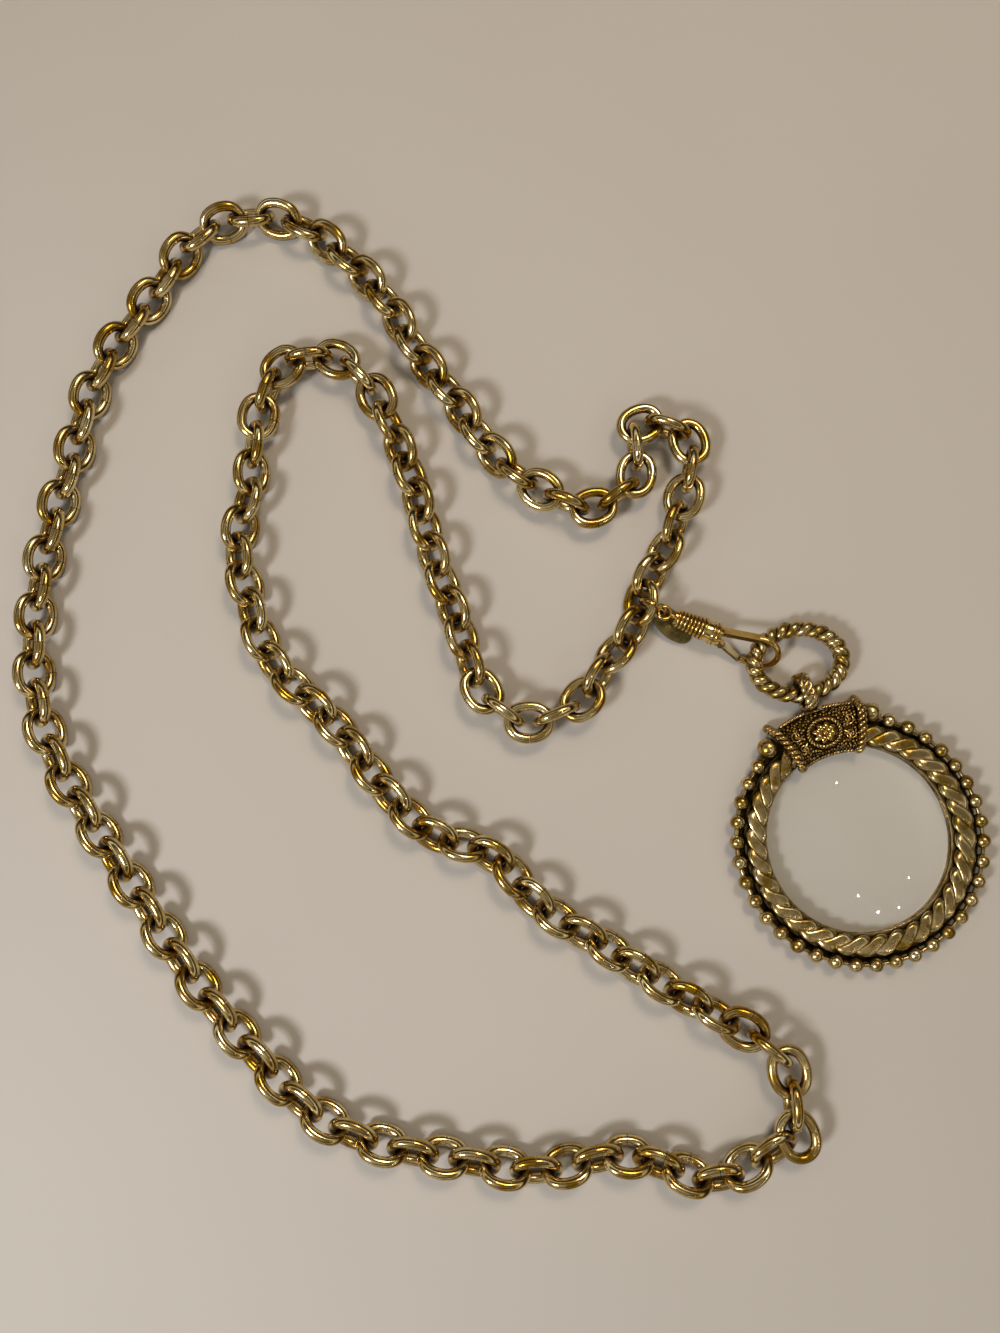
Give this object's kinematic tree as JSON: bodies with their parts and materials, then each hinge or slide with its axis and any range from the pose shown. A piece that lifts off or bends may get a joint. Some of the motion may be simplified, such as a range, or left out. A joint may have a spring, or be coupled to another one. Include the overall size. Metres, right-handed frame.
{
  "type": "quizzing glass pendant",
  "caption": "Round hand lens in a beaded, rope-banded frame, hung by a scrolled clamp, twisted ring and swivel clasp on a long oval-link chain",
  "frame": {"origin": "on the lens's axis, in the plane that the piece lies on", "axes": "+Y from the lens towards the bail and the chain, +Z out of the glass towards the viewer, +X completes the set"},
  "size_m": [0.2042, 0.2579, 0.0102],
  "materials": {
    "gold": "antique gold plate, rubbed bright on the high spots",
    "patina": "dark antique patina over a grained casting",
    "chain": "olive antique gold, dark in the recesses",
    "clasp": "bright yellow gold plate",
    "tag": "dull olive-brown gold plate",
    "glass": "clear polished"
  },
  "bodies": {
    "carrier": {"chain_carrier": "chain"},
    "split_ring": {"split_ring": "clasp"},
    "tag": {"hang_tag": "tag"},
    "swivel": {"swivel": "clasp"},
    "clasp": {"barrel": "clasp", "end_collar": "clasp", "hook": "clasp", "gate_rivet": "clasp"},
    "gate": {"gate": "clasp"},
    "rope_ring": {"rope_ring": "gold"},
    "pendant": {"bail": "gold", "bail_collar": "gold", "clamp": "patina", "clamp_borders": "gold", "clamp_rivets": "gold", "edge_trims": "gold", "scroll_filigree": "gold", "centre_boss": "gold", "lens_frame": "gold", "lens": "glass", "retaining_ring": "gold", "rope_band": "gold", "bead_row": "gold"},
    "chain_a01": {"chain_a01": "chain"},
    "chain_a02": {"chain_a02": "chain"},
    "chain_a03": {"chain_a03": "chain"},
    "chain_a04": {"chain_a04": "chain"},
    "chain_a05": {"chain_a05": "chain"},
    "chain_a06": {"chain_a06": "chain"},
    "chain_a07": {"chain_a07": "chain"},
    "chain_a08": {"chain_a08": "chain"},
    "chain_a09": {"chain_a09": "chain"},
    "chain_a10": {"chain_a10": "chain"},
    "chain_a11": {"chain_a11": "chain"},
    "chain_a12": {"chain_a12": "chain"},
    "chain_a13": {"chain_a13": "chain"},
    "chain_a14": {"chain_a14": "chain"},
    "chain_a15": {"chain_a15": "chain"},
    "chain_a16": {"chain_a16": "chain"},
    "chain_b01": {"chain_b01": "chain"},
    "chain_b02": {"chain_b02": "chain"},
    "chain_b03": {"chain_b03": "chain"},
    "chain_b04": {"chain_b04": "chain"},
    "chain_b05": {"chain_b05": "chain"},
    "chain_b06": {"chain_b06": "chain"},
    "chain_b07": {"chain_b07": "chain"},
    "chain_b08": {"chain_b08": "chain"},
    "chain_b09": {"chain_b09": "chain"},
    "chain_b10": {"chain_b10": "chain"},
    "chain_b11": {"chain_b11": "chain"},
    "chain_b12": {"chain_b12": "chain"}
  },
  "joints": [
    {"name": "split_ring_swing", "type": "hinge", "parent": "carrier", "child": "split_ring", "pos_m": [-0.0289, 0.06835, 0.00399], "axis": [-0.454, -0.891, 0], "range_deg": [0, 16]},
    {"name": "tag_swing", "type": "hinge", "parent": "split_ring", "child": "tag", "pos_m": [-0.02573, 0.06513, 0.00252], "axis": [0, 0, 1], "range_deg": [-2, 10]},
    {"name": "swivel_nod", "type": "hinge", "parent": "split_ring", "child": "swivel", "pos_m": [-0.02462, 0.064, 0.0044], "axis": [-0.6649, -0.7469, 0], "range_deg": [0, 15]},
    {"name": "clasp_spin", "type": "hinge", "parent": "swivel", "child": "clasp", "pos_m": [-0.01454, 0.05502, 0.00406], "axis": [0.7464, -0.665, -0.0253], "continuous": true},
    {"name": "gate_swing", "type": "hinge", "parent": "clasp", "child": "gate", "pos_m": [-0.01419, 0.05307, 0.00256], "axis": [-0.4975, -0.5828, 0.6426], "range_deg": [0, 30], "stiffness_Nm_per_rad": 0.00005, "springref_deg": -11.46},
    {"name": "rope_ring_swing", "type": "hinge", "parent": "clasp", "child": "rope_ring", "pos_m": [-0.007, 0.0483, 0.0038], "axis": [-0.783, -0.622, 0], "range_deg": [0, 15]},
    {"name": "pendant_swing", "type": "hinge", "parent": "rope_ring", "child": "pendant", "pos_m": [0.00093, 0.0352, 0.0038], "axis": [-0.9763, 0.2164, 0], "range_deg": [0, 45]},
    {"name": "chain_a01_swing", "type": "hinge", "parent": "carrier", "child": "chain_a01", "pos_m": [-0.02733, 0.07143, 0.00399], "axis": [0.7788, -0.6273, 0], "range_deg": [-12, 12]},
    {"name": "chain_a02_swing", "type": "hinge", "parent": "chain_a01", "child": "chain_a02", "pos_m": [-0.00953, 0.09047, 0.00504], "axis": [-0.8484, 0.5293, 0], "range_deg": [-10, 10]},
    {"name": "chain_a03_swing", "type": "hinge", "parent": "chain_a02", "child": "chain_a03", "pos_m": [-0.01874, 0.09947, 0.0051], "axis": [-0.9348, 0.3552, 0], "range_deg": [-12, 12]},
    {"name": "chain_a04_swing", "type": "hinge", "parent": "chain_a03", "child": "chain_a04", "pos_m": [-0.0442, 0.10379, 0.00478], "axis": [-0.819, -0.5738, 0], "range_deg": [-12, 12]},
    {"name": "chain_a05_swing", "type": "hinge", "parent": "chain_a04", "child": "chain_a05", "pos_m": [-0.05673, 0.13636, 0.00399], "axis": [0.9454, 0.3259, 0], "range_deg": [-12, 12]},
    {"name": "chain_a06_swing", "type": "hinge", "parent": "chain_a05", "child": "chain_a06", "pos_m": [-0.06641, 0.16934, 0.00399], "axis": [-0.9001, -0.4358, 0], "range_deg": [-12, 12]},
    {"name": "chain_a07_swing", "type": "hinge", "parent": "chain_a06", "child": "chain_a07", "pos_m": [-0.0906, 0.1916, 0.00399], "axis": [0.1104, 0.9939, 0], "range_deg": [-12, 12]},
    {"name": "chain_a08_swing", "type": "hinge", "parent": "chain_a07", "child": "chain_a08", "pos_m": [-0.12011, 0.17596, 0.00399], "axis": [0.591, -0.8066, 0], "range_deg": [-12, 12]},
    {"name": "chain_a09_swing", "type": "hinge", "parent": "chain_a08", "child": "chain_a09", "pos_m": [-0.14324, 0.1509, 0.00399], "axis": [-0.8639, 0.5036, 0], "range_deg": [-12, 12]},
    {"name": "chain_a10_swing", "type": "hinge", "parent": "chain_a09", "child": "chain_a10", "pos_m": [-0.16085, 0.12125, 0.00399], "axis": [0.8977, -0.4405, 0], "range_deg": [-12, 12]},
    {"name": "chain_a11_swing", "type": "hinge", "parent": "chain_a10", "child": "chain_a11", "pos_m": [-0.17045, 0.08835, 0.00399], "axis": [-0.9993, 0.0365, 0], "range_deg": [-12, 12]},
    {"name": "chain_a12_swing", "type": "hinge", "parent": "chain_a11", "child": "chain_a12", "pos_m": [-0.16405, 0.05461, 0.00399], "axis": [0.9628, 0.2701, 0], "range_deg": [-12, 12]},
    {"name": "chain_a13_swing", "type": "hinge", "parent": "chain_a12", "child": "chain_a13", "pos_m": [-0.15445, 0.02147, 0.00399], "axis": [-0.9481, -0.3179, 0], "range_deg": [-12, 12]},
    {"name": "chain_a14_swing", "type": "hinge", "parent": "chain_a13", "child": "chain_a14", "pos_m": [-0.14386, -0.004, 0.00399], "axis": [0.9081, 0.4188, 0], "range_deg": [-12, 12]},
    {"name": "chain_a15_swing", "type": "hinge", "parent": "chain_a14", "child": "chain_a15", "pos_m": [-0.12184, -0.02964, 0.00399], "axis": [-0.5262, -0.8504, 0], "range_deg": [-12, 12]},
    {"name": "chain_a16_swing", "type": "hinge", "parent": "chain_a15", "child": "chain_a16", "pos_m": [-0.08415, -0.04562, 0.00399], "axis": [0.1199, 0.9928, 0], "range_deg": [-12, 12]},
    {"name": "chain_b01_swing", "type": "hinge", "parent": "carrier", "child": "chain_b01", "pos_m": [-0.03046, 0.06528, 0.00399], "axis": [0.7873, -0.6165, 0], "range_deg": [-12, 4]},
    {"name": "chain_b02_swing", "type": "hinge", "parent": "chain_b01", "child": "chain_b02", "pos_m": [-0.06129, 0.04945, 0.0051], "axis": [0.1186, 0.9929, 0], "range_deg": [-12, 12]},
    {"name": "chain_b03_swing", "type": "hinge", "parent": "chain_b02", "child": "chain_b03", "pos_m": [-0.07153, 0.08465, 0.00399], "axis": [-0.9996, -0.0288, 0], "range_deg": [-12, 12]},
    {"name": "chain_b04_swing", "type": "hinge", "parent": "chain_b03", "child": "chain_b04", "pos_m": [-0.07067, 0.11911, 0.00399], "axis": [0.9998, 0.0204, 0], "range_deg": [-12, 12]},
    {"name": "chain_b05_swing", "type": "hinge", "parent": "chain_b04", "child": "chain_b05", "pos_m": [-0.0769, 0.1469, 0.0051], "axis": [-0.7913, -0.6114, 0], "range_deg": [-12, 12]},
    {"name": "chain_b06_swing", "type": "hinge", "parent": "chain_b05", "child": "chain_b06", "pos_m": [-0.10519, 0.13151, 0.00429], "axis": [-0.924, 0.3824, 0], "range_deg": [-12, 12]},
    {"name": "chain_b07_swing", "type": "hinge", "parent": "chain_b06", "child": "chain_b07", "pos_m": [-0.11615, 0.09957, 0.00399], "axis": [0.9989, -0.0464, 0], "range_deg": [-12, 12]},
    {"name": "chain_b08_swing", "type": "hinge", "parent": "chain_b07", "child": "chain_b08", "pos_m": [-0.11085, 0.0731, 0.00399], "axis": [-0.8792, -0.4764, 0], "range_deg": [-12, 12]},
    {"name": "chain_b09_swing", "type": "hinge", "parent": "chain_b08", "child": "chain_b09", "pos_m": [-0.09774, 0.0413, 0.00399], "axis": [0.9052, 0.425, 0], "range_deg": [-12, 12]},
    {"name": "chain_b10_swing", "type": "hinge", "parent": "chain_b09", "child": "chain_b10", "pos_m": [-0.07707, 0.01497, 0.00399], "axis": [-0.9287, -0.3707, 0], "range_deg": [-12, 12]},
    {"name": "chain_b11_swing", "type": "hinge", "parent": "chain_b10", "child": "chain_b11", "pos_m": [-0.05658, -0.01255, 0.00399], "axis": [0.7741, 0.6331, 0], "range_deg": [-12, 12]},
    {"name": "chain_b12_swing", "type": "hinge", "parent": "chain_b11", "child": "chain_b12", "pos_m": [-0.03442, -0.04427, 0.0051], "axis": [-0.9769, 0.2138, 0], "range_deg": [-12, 12]}
  ]
}
